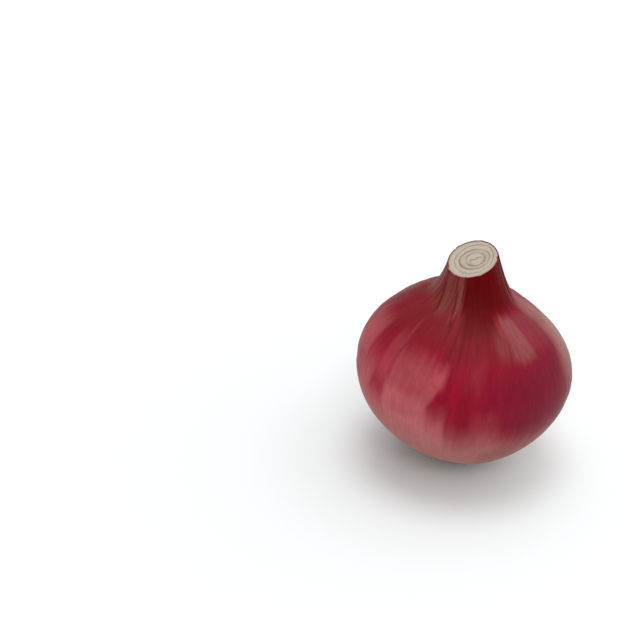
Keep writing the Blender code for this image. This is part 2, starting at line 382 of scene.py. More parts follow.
FILM = (
    Streak(-128.6, 11.7, ROOT_END, 74.0, 0.0, 1.2, 1.0, 5.5, 1.0, 0.38),
    Streak(-128.5, 12.4, ROOT_END, 63.0, 0.0, 1.4, 1.0, 5.0, 1.0, 0.68),
    Streak(-128.5, 13.2, ROOT_END, 57.5, 0.0, 1.4, 1.0, 8.0, 1.0, 0.88),
    Streak(-113.4, 4.4, 66.5, 73.5, 1.0, 1.9, 2.2, 4.0, 1.4, 0.44),
    Streak(-117.4, 3.8, 57.0, 67.5, 7.0, 1.5, 1.6, 1.6, 1.4, 0.48),
    Streak(-111.5, 6.2, ROOT_END, 55.0, 0.0, 1.6, 1.0, 8.0, 1.0, 0.72),
    # This patch high on the far left rim is film and also a painted highlight
    Streak(-177.0, 14.0, 63.6, 77.0, -4.0, 3.0, 0.9, 5.0, 0.6, 0.42),
    Streak(-176.0, 9.0, ROOT_END, 54.5, 4.0, 3.0, 1.0, 2.5, 0.8, 0.80),
    Streak(-162.0, 6.5, ROOT_END, 63.0, 6.0, 3.0, 1.0, 7.0, 0.8, 0.62),
    Streak(-150.0, 9.5, ROOT_END, 54.0, 0.0, 2.5, 1.0, 7.0, 1.0, 0.72),
    Streak(-41.0, 13.0, 79.0, 94.0, 0.0, 5.0, 4.0, 3.0, 1.0, 0.12),
    Streak(-142.0, 1.1, 54.0, 86.0, -2.0, 0.6, 3.0, 5.0, 0.3, 0.14),
    Streak(-145.5, 4.5, 62.0, 79.0, 0.0, 2.0, 4.0, 4.0, 0.5, 0.20),
    Streak(-118.5, 2.2, 90.0, 106.0, 3.0, 0.8, 3.0, 2.0, 0.3, 0.20),
    Streak(-86.0, 6.0, 49.0, 60.0, 0.0, 3.5, 3.0, 3.0, 1.5, 0.10),
    Streak(-92.0, 5.0, 67.0, 78.0, 3.0, 3.5, 4.0, 4.0, 1.5, 0.07),
    Streak(-16.0, 1.3, 99.0, NECK_END, 2.0, 0.8, 2.0, 1.0, 0.3, 0.18),
    Streak(155.0, 14.0, ROOT_END, 71.0, 3.0, 1.6, 1.0, 7.0, 0.8, 0.46),
    Streak(129.0, 5.0, 58.0, 85.0, 9.0, 2.0, 6.0, 5.0, 0.8, 0.34),
    Streak(101.0, 11.0, ROOT_END, 57.0, -4.0, 1.6, 1.0, 8.0, 1.0, 0.60),
    Streak(72.0, 13.0, 55.0, 79.0, -8.0, 3.5, 6.0, 6.0, 0.8, 0.38),
    Streak(40.0, 4.0, 63.0, 90.0, 6.0, 2.0, 6.0, 5.0, 0.8, 0.30),
)
# Grey film that carries painted light: two painted highlight streaks on the right shoulder, two streaks of
# painted sheen along the right rim, and a broad patch of painted sheen and shade over the lower right
PAINTED_LIGHT_FILM = (
    Streak(-60.0, 8.4, 77.0, 94.0, -2.5, 2.6, 2.6, 2.4, 0.9, 0.38),
    Streak(-74.0, 5.8, 78.5, 91.5, 0.0, 2.2, 3.0, 3.0, 0.9, 0.20),
    Streak(-7.0, 14.5, 58.0, 96.0, 3.0, 9.0, 9.0, 8.0, 0.8, 0.70),
    Streak(-9.0, 16.0, 64.0, 86.0, 6.0, 8.0, 14.0, 6.0, 0.8, 0.90),
    Streak(-36.0, 50.0, ROOT_END, 46.5, 0.0, 14.0, 1.0, 9.0, 1.2, 0.62),
)
print("film patches:", len(FILM), " dusty patches:", len(PAINTED_LIGHT_FILM))

# %% The tints
MAROON = (
    Streak(-69.0, 42.5, 94.5, NECK_END, -1.0, 1.0, 3.6, 1.0, 0.8, 1.00),
    Streak(-91.0, 17.0, 87.5, NECK_END, -2.0, 2.4, 6.0, 1.0, 0.8, 0.88),
    Streak(2.0, 30.0, 96.5, NECK_END, 3.0, 4.0, 5.0, 1.0, 1.0, 0.80),
    Streak(60.0, 26.0, 96.0, NECK_END, 5.0, 2.0, 5.0, 1.0, 1.5, 0.80),
    Streak(135.0, 20.0, 95.0, NECK_END, -5.0, 2.0, 5.0, 1.0, 1.5, 0.85),
)
TAN = (
    Streak(-137.0, 25.0, 94.0, NECK_END, 0.0, 3.0, 4.5, 1.0, 1.0, 0.76),
    Streak(-137.0, 8.0, 91.5, 103.5, 0.0, 3.0, 4.0, 2.0, 0.8, 0.95),
    Streak(-24.0, 9.0, 97.5, NECK_END, 0.0, 2.5, 3.5, 1.0, 1.0, 0.25),
    Streak(176.0, 12.0, 93.0, NECK_END, 0.0, 3.0, 3.0, 1.0, 1.5, 0.90),
    Streak(95.0, 16.0, 91.0, NECK_END, 4.0, 3.0, 4.0, 1.0, 2.0, 0.80),
)
# The rose patch on the left is painted light, lighter where the light falls; the one round the back is the
# skin's own tone
ROSE_AND_PAINTED_LIGHT = (
    Streak(-160.0, 27.0, ROOT_END, 74.0, 0.0, 14.0, 1.0, 7.0, 1.2, 0.85),
    Streak(60.0, 42.0, ROOT_END, 80.0, 0.0, 18.0, 1.0, 8.0, 1.5, 0.80),
)
# The plum patch on the right is painted shade, darker away from the light; the one round the back is the
# skin's own tone
PLUM_AND_PAINTED_SHADE = (
    Streak(-27.0, 43.0, ROOT_END, 96.0, 0.0, 27.0, 1.0, 5.0, 1.2, 1.00),
    Streak(140.0, 30.0, ROOT_END, 94.0, 0.0, 20.0, 1.0, 6.0, 1.5, 0.80),
)
RUST = (
    Streak(-122.0, 50.0, 78.0, NECK_END, 0.0, 9.0, 10.0, 1.0, 1.0, 1.00),
    Streak(90.0, 106.0, 84.0, NECK_END, 0.0, 14.0, 9.0, 1.0, 1.0, 0.90),
)
PALE_BASE = (
    Streak(-150.0, 70.0, ROOT_END, 47.0, 0.0, 11.0, 1.0, 10.0, 1.2, 1.00),
    Streak(70.0, 78.0, ROOT_END, 46.0, 0.0, 18.0, 1.0, 8.0, 0.9, 0.85),
)
STRAW_END = (Streak(-90.0, 200.0, ROOT_END, 26.0, 0.0, 1.0, 1.0, 9.0, 1.2, 0.90),)
TINT_STREAKS = MAROON + TAN + ROSE_AND_PAINTED_LIGHT + PLUM_AND_PAINTED_SHADE + RUST + PALE_BASE + STRAW_END
print("tinted patches:", len(TINT_STREAKS))

# %% The creases
SEED = 7
# The creases are real grooves; their dark brown is partly the dry folds' own colour and partly painted
# shade in the grooves
CREASES = (
    Streak(-114.0, 1.5, 99.0, NECK_END, 0.0, 0.9, 2.0, 1.0, 0.3, 0.75),
    Streak(-121.5, 1.4, 87.0, 104.0, -7.0, 0.9, 4.0, 2.0, 0.3, 0.62),
    Streak(-116.5, 1.0, 80.0, 93.0, 2.0, 0.8, 4.0, 3.0, 0.3, 0.42),
    Streak(-148.5, 2.4, 91.0, 106.0, -14.0, 1.2, 4.0, 2.0, 0.3, 0.75),
    Streak(-158.0, 2.2, 95.0, NECK_END, -4.0, 1.2, 4.0, 2.0, 0.3, 0.60),
    Streak(-127.5, 1.6, 95.0, NECK_END, 1.0, 1.0, 4.0, 2.0, 0.3, 0.60),
    Streak(-136.0, 1.2, 97.0, NECK_END, -2.0, 0.9, 4.0, 2.0, 0.3, 0.40),
    Streak(-21.0, 2.2, 98.0, NECK_END, 2.0, 1.2, 3.0, 1.0, 0.3, 0.85),
    Streak(-108.5, 1.1, 77.0, 98.0, 4.0, 0.8, 5.0, 4.0, 0.3, 0.42),
    Streak(-103.0, 1.0, 74.0, 92.0, 3.0, 0.8, 5.0, 4.0, 0.3, 0.42),
    Streak(-98.5, 0.9, 79.0, 90.0, 2.0, 0.7, 5.0, 4.0, 0.3, 0.36),
    Streak(-93.0, 0.9, 76.0, 88.0, 2.0, 0.7, 5.0, 4.0, 0.3, 0.26),
    Streak(-84.0, 0.9, 82.0, 92.0, 1.0, 0.7, 4.0, 4.0, 0.3, 0.26),
)
BACK_CREASE_COUNT = 9
BACK_START, BACK_SPREAD = 5.0, 150.0
BACK_PLACE = (0.2, 0.8)
BACK_HALF = (0.9, 1.5)
BACK_LOW, BACK_HIGH = (84.0, 96.0), (104.0, 130.0)
BACK_SLANT = (-8.0, 8.0)
BACK_LOW_BLUR = (2.0, 5.0)
BACK_STRENGTH = (0.3, 0.7)


def creases_behind(rng):
    """Creases spread over the far side of the neck, from the right edge round to the left."""
    made = []
    for index in range(BACK_CREASE_COUNT):
        share = (index + rng.uniform(*BACK_PLACE)) / BACK_CREASE_COUNT
        made.append(Streak(
            around=BACK_START + BACK_SPREAD * share, half=rng.uniform(*BACK_HALF),
            low=rng.uniform(*BACK_LOW), high=rng.uniform(*BACK_HIGH),
            slant=rng.uniform(*BACK_SLANT), side_blur=0.8, low_blur=rng.uniform(*BACK_LOW_BLUR),
            high_blur=3.0, teeth=0.3, strength=rng.uniform(*BACK_STRENGTH),
        ))
    return tuple(made)


crease_streaks = CREASES + creases_behind(random.Random(SEED))
print("creases:", len(crease_streaks))

# %% [markdown]
# From streaks to masks
#
# A mask is a number between 0 and 1 on every vertex: how much of one kind of mark lies there.
# Real film doesn't tear along a ruled line, so a few waves of different counts, added up, make
# the sides waver and the ends ragged. Later the film's mask lifts the film in the mesh and
# guides its colour in the finish, so the two always agree.

# %% Turn streaks into masks
TOOTH_COUNTS = (11, 17, 29, 43, 71)
WAVER_COUNTS = (3, 5, 9, 14)
WAVER_SHARE = 0.5


def ragged(place, counts, rng):
    """A rough wavy line between about -1 and 1, repeating each full turn."""
    total = sum(np.cos(count * place + rng.uniform(0.0, math.tau)) for count in counts)
    return total / math.sqrt(2.0 * len(counts))


def turn_between(angle, centre):
    return (angle - centre + math.pi) % math.tau - math.pi


def soft_edge(low, high, blur, value):
    """1 between low and high and 0 outside, with blurred edges."""
    low_blur, high_blur = blur
    return soft_step(low - low_blur, low + low_blur, value) * (
        1.0 - soft_step(high - high_blur, high + high_blur, value)
    )


def streak_mask(streak, angle, along, rng):
    """1 inside the streak, 0 outside, with blurred sides and toothed ends."""
    rise = np.clip((along - streak.low) / (streak.high - streak.low), 0.0, 1.0)
    centre = np.radians(streak.around + streak.slant * (rise - 0.5))
    off = np.degrees(np.abs(turn_between(angle, centre)))
    off += streak.side_blur * WAVER_SHARE * ragged(along / along.max() * math.pi, WAVER_COUNTS, rng)
    side = 1.0 - soft_step(streak.half - streak.side_blur, streak.half + streak.side_blur, off)
    toothed = along + streak.teeth * ragged(angle, TOOTH_COUNTS, rng)
    ends = soft_edge(streak.low, streak.high, (streak.low_blur, streak.high_blur), toothed)
    return streak.strength * side * ends


def mask_of(streaks, angle, along, rng):
    """All the streaks of one kind together. Where they overlap, the strongest counts."""
    total = np.zeros_like(angle)
    for streak in streaks:
        total = np.maximum(total, streak_mask(streak, angle, along, rng))
    return total


print("a rough wavy line:", np.round(ragged(angles, TOOTH_COUNTS, random.Random(SEED)), 2))

# %% [markdown]
# The skin, spun from the outline
#
# The outline is spun into a fine net of 450 meridians. Before the spin, each of its points
# gets its distance from the root written on it, and the spin copies that number round, so
# every vertex knows where it lies along the skin. The rim is then drawn in and down as a thin
# lip, and closed below the cut end, so that the piece is one closed shell. Last, every vertex
# is placed by the growth formulas, with the veins, pleats and film lifted out of the surface.

# %% Helpers for spun meshes
MERGE_DISTANCE = 0.0005 * MM


def spun_outline(bm, points, numbers, layer_name, steps):
    """Spins a line of points round the axis. Each point's number is carried to its copies."""
    layer = bm.verts.layers.float.new(layer_name)
    verts = [bm.verts.new((point[0], 0.0, point[1])) for point in points]
    for vert, number in zip(verts, numbers):
        vert[layer] = number
    edges = [bm.edges.new(pair) for pair in zip(verts, verts[1:])]
    bmesh.ops.spin(
        bm, geom=verts + edges, cent=(0, 0, 0), axis=(0, 0, 1),
        angle=math.tau, steps=steps, use_merge=True,
    )
    bmesh.ops.remove_doubles(bm, verts=bm.verts, dist=MERGE_DISTANCE)
    return [edge for edge in bm.edges if edge.is_boundary]


def draw_in(bm, loop, layer, rows):
    """Extrudes a boundary loop once for each row, marks each new ring with its row and closes the last."""
    for row in rows:
        made = bmesh.ops.extrude_edge_only(bm, edges=loop)["geom"]
        loop = [item for item in made if isinstance(item, bmesh.types.BMEdge) and item.is_boundary]
        for item in made:
            if isinstance(item, bmesh.types.BMVert):
                item[layer] = row
    bmesh.ops.contextual_create(bm, geom=loop)


def numbers_on(mesh, name):
    values = np.zeros(len(mesh.vertices), np.float32)
    mesh.attributes[name].data.foreach_get("value", values)
    return values.astype(float)


def write_number(mesh, name, values):
    mesh.attributes.new(name, "FLOAT", "POINT").data.foreach_set("value", values.astype(np.float32))


def write_vector(mesh, name, values):
    mesh.attributes.new(name, "FLOAT_VECTOR", "POINT").data.foreach_set(
        "vector", values.astype(np.float32).ravel()
    )


def vertex_places(mesh):
    places = np.zeros(len(mesh.vertices) * 3, np.float32)
    mesh.vertices.foreach_get("co", places)
    return places.reshape(-1, 3).astype(float)


def set_places(mesh, places):
    mesh.vertices.foreach_set("co", places.astype(np.float32).ravel())
    mesh.update()


def mesh_from(bm, name):
    mesh = bpy.data.meshes.new(name)
    bm.to_mesh(mesh)
    bm.free()
    return mesh


def point_faces_out(mesh):
    """Turns every face of a closed shell outwards and shades it smooth."""
    bm = bmesh.new()
    bm.from_mesh(mesh)
    bmesh.ops.recalc_face_normals(bm, faces=bm.faces)
    bm.to_mesh(mesh)
    bm.free()
    mesh.shade_smooth()


print("mesh helpers ready")

# %% Spin the skin and write the marks on it
MERIDIANS = 450
# How far in and how far up from the rim each row of the lip lies, in mm
LIP = ((0.06, 0.08), (0.22, 0.08), (0.30, -0.06), (0.40, -0.80))
# Rose carries painted light, plum painted shade, the grey film painted highlights, sheen and shade, and
# the creases partly painted shade
MARKS = {
    "film": FILM, "painted_light_film": PAINTED_LIGHT_FILM, "maroon": MAROON, "tan": TAN, "rose": ROSE_AND_PAINTED_LIGHT, "plum": PLUM_AND_PAINTED_SHADE,
    "rust": RUST, "pale_base": PALE_BASE, "straw_end": STRAW_END, "crease": crease_streaks,
}

bm = bmesh.new()
rim_edges = spun_outline(bm, OUTLINE, ALONG / MM, "along", MERIDIANS)
lip_layer = bm.verts.layers.float.new("lip_row")
draw_in(bm, rim_edges, lip_layer, range(1, len(LIP) + 1))
skin_mesh = mesh_from(bm, "onion_skin")

turned = vertex_places(skin_mesh)
angle = np.arctan2(turned[:, 1], turned[:, 0])
radius = np.hypot(turned[:, 0], turned[:, 1])
height = turned[:, 2]
along = numbers_on(skin_mesh, "along")
lip_row = np.rint(numbers_on(skin_mesh, "lip_row")).astype(int)

rng = random.Random(SEED)
masks = {name: mask_of(streaks, angle, along, rng) for name, streaks in MARKS.items()}
for name, values in masks.items():
    write_number(skin_mesh, name, values)
grain = np.stack([np.cos(angle), np.sin(angle), along * MM / BELLY_RADIUS], axis=-1)
write_vector(skin_mesh, "grain", grain)
print(f"skin: {len(skin_mesh.polygons)} faces, marked with", ", ".join(masks))

# %% Lift the relief and place the skin
# Waves round the bulb are (count, size in mm, phase). Fades are places in mm along the skin
VEINS = ((71, 0.009, 0.3), (89, 0.011, 1.9), (113, 0.009, 4.4), (137, 0.006, 2.7))
VEINS_FADE = (10.0, 30.0)
VEINS_UNEVEN = 0.5
VEINS_UNEVEN_COUNT, VEINS_UNEVEN_LENGTH = 3.0, 9.0
NECK_FADE = (84.0, 104.0)
NECK_FOLDS = ((26, 0.040, 0.9), (37, 0.036, 3.3), (53, 0.026, 5.1))
FOLD_MIDDLE = 0.64
# Dents wind round the bulb as they rise: (count, pitch, size in mm, phase)
DENTS = ((2, 1.1, 0.05, 0.5), (3, 0.7, 0.05, 2.2), (5, 1.7, 0.035, 4.0), (7, 2.6, 0.025, 1.2))
DENT_LENGTH = 11.0
FILM_EDGE = (0.04, 0.34)
FILM_LIFT = 0.12
FILM_CURL = 0.10
CREASE_DEPTH = 0.26
RIM_TEAR = 0.04


def fold_height(folds, angle):
    """Rounded pleats with sharp valleys between them."""
    return sum(size * (np.abs(np.cos(0.5 * count * angle + phase)) - FOLD_MIDDLE)
               for count, size, phase in folds)


def skin_relief(angle, along, masks):
    """How far the skin stands out of the smooth bulb, in mm."""
    on_body = soft_step(*VEINS_FADE, along)
    on_neck = soft_step(*NECK_FADE, along)
    uneven = np.cos(VEINS_UNEVEN_COUNT * angle + along / VEINS_UNEVEN_LENGTH)
    veins = waves(VEINS, angle) * (1.0 + VEINS_UNEVEN * uneven)
    dents = sum(size * np.cos(count * angle + along / DENT_LENGTH * pitch + phase)
                for count, pitch, size, phase in DENTS)
    film = soft_step(*FILM_EDGE, np.maximum(masks["film"], masks["painted_light_film"]))
    # The curl is 1 half way up the film's edge and 0 on and off the film
    curl = 4.0 * film * (1.0 - film)
    folds = on_neck * fold_height(NECK_FOLDS, angle)
    lifted = FILM_LIFT * film + FILM_CURL * curl
    return on_body * (veins + (1.0 - on_neck) * dents) + folds + lifted - CREASE_DEPTH * masks["crease"]


def place_skin(angle, radius, height, along, lip_row, relief):
    """Where each vertex stands: the lip follows the cut's rim, and the rest its own outline."""
    slope_r = np.interp(along * MM, ALONG, SLOPES[:, 0])
    slope_h = np.interp(along * MM, ALONG, SLOPES[:, 1])
    rim_reach, rim_height = rim(angle)
    neck_share = (height - SHOULDER_HEIGHT) / (CUT_HEIGHT - SHOULDER_HEIGHT)
    on_neck = height > SHOULDER_HEIGHT
    height = np.where(on_neck, SHOULDER_HEIGHT + neck_share * (rim_height - SHOULDER_HEIGHT), height)
    radius = np.where(on_neck, neck_radius(height), radius)
    reach = radius * radial_share(angle, height) + relief * MM * slope_h
    height = height - relief * MM * slope_r
    inward, upward = np.array([(0.0, 0.0), *LIP])[lip_row].T * MM
    lip_reach = rim_reach + relief * MM - inward
    tear = RIM_TEAR * MM * ragged(angle, TOOTH_COUNTS, random.Random(SEED))
    lip_height = CUT_HEIGHT - knife_drop(lip_reach, angle) + upward + tear * (lip_row < len(LIP))
    on_lip = lip_row > 0
    reach = np.where(on_lip, lip_reach, reach)
    height = np.where(on_lip, lip_height, height)
    return stand_up(reach * np.cos(angle), reach * np.sin(angle), height)


relief = skin_relief(angle, along, masks)
set_places(skin_mesh, place_skin(angle, radius, height, along, lip_row, relief))
point_faces_out(skin_mesh)
write_number(skin_mesh, "rim_edge", (lip_row > 0).astype(float))
onion_skin = add_object("onion_skin", skin_mesh)
print(f"skin: {len(skin_mesh.polygons)} faces, relief {relief.min():.2f} to {relief.max():.2f} mm")

# %% [markdown]
# The skin's finish
#
# Red onion skin is thin, satin and finely striped from root to neck. Its stripes are noise that
# is read on the direction round the bulb and the distance along it, and stretched along the
# bulb, so they close up towards both ends as real veins do. Over that come the broad tints, the
# rose one painted light on the left and the plum one painted shade on the right, the pink film,
# the pale base, the grey film of painted highlights, painted sheen and painted shade, the
# straw-coloured root end, the neck's tan and maroon and last the creases, whose dark brown is
# partly painted shade, each laid in by its mask. The skin hardly mirrors anything seen straight
# on. At its rims it glows a greyish tan, as fine dry fibres do, and the shader's sheen gives
# that. Along the right rim, the painted sheen of the grey film adds to it.

# %% Noise for the skin
FINE_STRIPES = (34.0, 34.0, 6.0)
BROAD_STRIPES = (7.0, 7.0, 1.6)
SPECKS = (70.0, 70.0, 30.0)
CLOUD_SCALE = 85.0
# Nearly all of a noise's values lie between these two
NOISE_SPAN = (0.3, 0.7)

skin = Finish("red_onion_skin")
grain_place = skin.written("grain", "Vector")
fine = skin.noise(skin.stretch(grain_place, FINE_STRIPES), detail=5.0, roughness=0.64)
broad = skin.noise(skin.stretch(grain_place, BROAD_STRIPES))
cloudy = skin.noise(skin.place(), CLOUD_SCALE, detail=6.0, roughness=0.66)
speck = skin.noise(skin.stretch(grain_place, SPECKS), detail=2.0)


def tinted(under, mask_name, tint, pattern, weakest):
    """Lays a tint over the colours under it, by its mask, a little uneven by a noise pattern."""
    uneven = skin.ramp(pattern, *NOISE_SPAN, weakest, 1.0)
    return skin.mix(skin.calc("MULTIPLY", skin.written(mask_name), uneven), under, tint)


def shaded(under, pattern, darkest, lightest):
    """Darkens and lightens the colours by a noise pattern."""
    level = skin.ramp(pattern, *NOISE_SPAN, darkest, lightest)
    grey = skin.add("ShaderNodeCombineColor", {0: level, 1: level, 2: level}).outputs[0]
    return skin.mix(1.0, under, grey, blend="MULTIPLY")


print("skin noise ready:", len(skin.nodes), "nodes")

# %% Colour the skin
CRIMSON = srgb(146, 18, 44)
DEEP_CRIMSON = srgb(131, 12, 37)
# Rose red, painted light on the left side and the skin's own tone at the back
ROSE_RED_PAINTED_LIGHT = srgb(163, 43, 62)
# Plum red, painted shade on the right side and the skin's own tone at the back
PLUM_RED_PAINTED_SHADE = srgb(116, 24, 44)
RUST_RED = srgb(124, 32, 36)
FILM_PINK = srgb(199, 110, 113)
# The grey of the painted highlights, the painted rim sheen and the painted shade on the lower right
PAINTED_LIGHT_GREY = srgb(156, 110, 103)
BASE_PINK = srgb(170, 104, 104)
ROOT_TAN = srgb(158, 128, 108)
NECK_TAN = srgb(126, 64, 58)
NECK_MAROON = srgb(91, 0, 3)
# Dark brown of the creases, partly painted shade
CREASE_SHADE_BROWN = srgb(84, 18, 20)
RIM_BROWN = srgb(92, 44, 42)
EDGE_GLOW = srgb(226, 196, 182)
DEEP_PATCHES = (0.35, 0.68)
GLOSS = (0.38, 0.48)
FILM_DRYNESS = 0.10
FINE_BUMP = 0.06 * MM
SPECK_BUMP = 0.03 * MM
# Rose is painted light, plum painted shade, the grey film painted highlight, sheen and shade, and the
# creases partly painted shade
# Each mark with its colour, the noise that makes it uneven and how weak it gets
TINTS = (
    ("rose", ROSE_RED_PAINTED_LIGHT, cloudy, 0.88),
    ("plum", PLUM_RED_PAINTED_SHADE, broad, 0.88),
    ("rust", RUST_RED, cloudy, 0.90),
    ("film", FILM_PINK, cloudy, 0.86),
    ("pale_base", BASE_PINK, cloudy, 0.90),
    ("painted_light_film", PAINTED_LIGHT_GREY, fine, 0.76),
    ("straw_end", ROOT_TAN, fine, 0.80),
    ("tan", NECK_TAN, fine, 0.80),
    ("maroon", NECK_MAROON, broad, 0.94),
    ("crease", CREASE_SHADE_BROWN, broad, 0.90),
)

colour = skin.mix(skin.ramp(broad, *DEEP_PATCHES), CRIMSON, DEEP_CRIMSON)
for mask_name, tint, pattern, weakest in TINTS:
    colour = tinted(colour, mask_name, tint, pattern, weakest)
colour = shaded(colour, fine, darkest=0.92, lightest=1.07)
colour = shaded(colour, cloudy, darkest=0.94, lightest=1.05)
colour = skin.mix(skin.written("rim_edge"), colour, RIM_BROWN)

dry_film = skin.calc("MULTIPLY", skin.written("film"), FILM_DRYNESS)
roughness = skin.calc("ADD", skin.ramp(cloudy, *NOISE_SPAN, *GLOSS), dry_film)
surface = skin.bump(fine, FINE_BUMP)
surface = skin.bump(speck, SPECK_BUMP, surface)
skin_mesh.materials.append(skin.finish(
    Base_Color=colour, Roughness=roughness, Normal=surface, Specular_IOR_Level=0.05,
    Sheen_Weight=0.11, Sheen_Roughness=0.28, Sheen_Tint=EDGE_GLOW,
))
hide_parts("bulb")
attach(onion_skin, "root")
print("skin nodes:", len(skin.nodes))

# %% [markdown]
# The cut end of the neck
#
# The knife went through three nested leaf bases and the heart bud inside them. Where one leaf
# base meets the next there is a fine brown gap, and the fresh cut has dried a little, so the
# gaps have sunk. The end is a disc that is spun from a straight line and laid on the same
# slanted plane as the rim. Three gaps run right round, slightly wavy and nearer the front. The
# heart bud is folded like a comma: a wavy line crosses the middle, and two fainter ones curve
# forward from its ends.

# %% Draw the gaps between the leaf bases
# Places and widths are shares of the way from the middle to the rim, and depths are in mm
GAPS = (0.37, 0.575, 0.785)
GAP_DEPTHS = (0.22, 0.25, 0.20)
GAP_WIDTHS = (0.046, 0.036, 0.030)
GAP_WAVER = ((1, 0.018, 0.6), (2, 0.030, 2.4), (3, 0.016, 4.4), (5, 0.009, 1.0))
GAP_TURN = 2.1
GAP_FADING = ((1, 0.22, 1.2), (3, 0.20, 0.4), (4, 0.14, 2.9))
RING_DRIFT = 0.12
RING_DRIFT_ANGLE = math.radians(-90.0)
HEART_FOLD = ((-0.20, -0.02), (-0.18, 0.03), (-0.12, 0.04), (-0.04, 0.02), (0.05, 0.04),
              (0.11, 0.08), (0.20, 0.06))
HEART_EDGE = ((-0.20, -0.02), (-0.215, -0.10), (-0.20, -0.18), (-0.16, -0.27), (-0.09, -0.34))
HEART_BACK = ((0.20, 0.06), (0.245, -0.03), (0.25, -0.14), (0.215, -0.23), (0.15, -0.31))
# Each line of the heart with its depth
HEART_LINES = ((HEART_FOLD, 0.26), (HEART_EDGE, 0.18), (HEART_BACK, 0.12))
HEART_WIDTH = 0.032
LINE_STEPS = 24


def smooth_line(points):
    """A smooth line through a few points, as many close points."""
    knots = [Vector((*point, 0.0)) for point in points]
    line = []
    for index, (start, end) in enumerate(zip(knots, knots[1:])):
        before = knots[max(index - 1, 0)]
        after = knots[min(index + 2, len(knots) - 1)]
        arms = start + (end - before) / 6.0, end - (after - start) / 6.0
        line += interpolate_bezier(start, *arms, end, LINE_STEPS)
    return np.array([point.to_2d() for point in line])


def gap_mask(share, angle):
    """How deep each place lies in a gap between two leaf bases, in mm."""
    deepest = np.zeros_like(share)
    for index, (gap, depth, width) in enumerate(zip(GAPS, GAP_DEPTHS, GAP_WIDTHS)):
        line = gap * (1.0 + waves(GAP_WAVER, angle + GAP_TURN * index))
        fading = 1.0 + waves(GAP_FADING, angle + GAP_TURN * index)
        deepest = np.maximum(deepest, depth * fading * np.exp(-((share - line) / width) ** 2))
    across, along = share * np.cos(angle), share * np.sin(angle)
    for points, depth in HEART_LINES:
        line = smooth_line(points)
        away = np.min(np.hypot(across[:, None] - line[:, 0], along[:, None] - line[:, 1]), axis=1)
        deepest = np.maximum(deepest, depth * np.exp(-((away / HEART_WIDTH) ** 2)))
    return deepest


print("gaps at", GAPS, "of the way to the rim, and", len(HEART_LINES), "lines in the heart")

# %% Model the cut end
DISC_ROWS = 80
DISC_STEPS = 240
DISC_INSET = 0.30 * MM
DISC_DROP = 0.10 * MM
DISC_THICKNESS = 0.65 * MM
# The rings keep the rim's form near it and are rounder towards the middle
ROUND_POWER = 1.6
# The face swells by this many mm about once in each leaf base
DOME = 0.06

bm = bmesh.new()
shares = np.linspace(1.0, 0.0, DISC_ROWS + 1)
disc_line = [(share, 0.0) for share in shares]
disc_edges = spun_outline(bm, disc_line, shares, "share", DISC_STEPS)
skirt_layer = bm.verts.layers.float.new("skirt_row")
draw_in(bm, disc_edges, skirt_layer, (1,))
disc_mesh = mesh_from(bm, "cut_leaf_bases")

turned = vertex_places(disc_mesh)
angle = np.arctan2(turned[:, 1], turned[:, 0])
share = numbers_on(disc_mesh, "share")
skirt = numbers_on(disc_mesh, "skirt_row") > 0.5
share[skirt] = 1.0
gaps = np.where(skirt, 0.0, gap_mask(share, angle))
rim_reach = rim(angle)[0]
mean_reach = rim(np.linspace(0.0, math.tau, DISC_STEPS, endpoint=False))[0].mean()
round_reach = mean_reach + (rim_reach - mean_reach) * share**ROUND_POWER - DISC_INSET
drift = RING_DRIFT * mean_reach * (1.0 - share)
x = round_reach * share * np.cos(angle) + drift * math.cos(RING_DRIFT_ANGLE)
y = round_reach * share * np.sin(angle) + drift * math.sin(RING_DRIFT_ANGLE)
swell = DOME * np.abs(np.sin(math.pi * share / (GAPS[1] - GAPS[0])))
drop = DISC_DROP + (gaps - swell) * MM + DISC_THICKNESS * skirt
z = CUT_HEIGHT - knife_drop(np.hypot(x, y), np.arctan2(y, x)) - drop
set_places(disc_mesh, stand_up(x, y, z))
point_faces_out(disc_mesh)
write_number(disc_mesh, "gap", gaps / max(GAP_DEPTHS))
disc_grain = np.stack([np.cos(angle), np.sin(angle), share], axis=-1)
write_vector(disc_mesh, "grain", disc_grain)
cut_leaf_bases = add_object("cut_leaf_bases", disc_mesh)
print(f"cut end: {len(disc_mesh.polygons)} faces, {2.0 * mean_reach / MM:.1f} mm across")

# %% [markdown]
# The cut end's finish
#
# Cut onion dries to a dull cream. The gaps are grey-brown, the leaf base between the first gap
# and the second is greyer than its neighbours, the outermost one has a pink tint where it meets
# the red skin, and faint fibres and cloudy patches run through all of them.

# %% Colour the cut end
FLESH_CREAM = srgb(192, 181, 165)
FLESH_SHADE = srgb(178, 166, 150)
FLESH_GREY = srgb(172, 160, 146)
GAP_BROWN = srgb(118, 96, 84)
RIM_PINK = srgb(176, 140, 134)
FLESH_FIBRES = (3.0, 3.0, 34.0)
FLESH_CLOUD_SCALE = 420.0
FIBRE_SPAN = (0.35, 0.65)
SHADED_CLOUDS = (0.50, 0.80)
SHADED_SHARE = 0.5
GREY_STARTS, GREY_STOPS = (0.33, 0.42), (0.53, 0.62)
GREY_SHARE = 0.5
PINK_SPAN, PINK_SHARE = (0.88, 1.0), 0.80
GAP_SPAN, GAP_SHARE = (0.05, 1.0), 0.54
FIBRE_BUMP = 0.04 * MM
CLOUD_BUMP = 0.06 * MM
FLESH_ROUGHNESS = (0.55, 0.75)

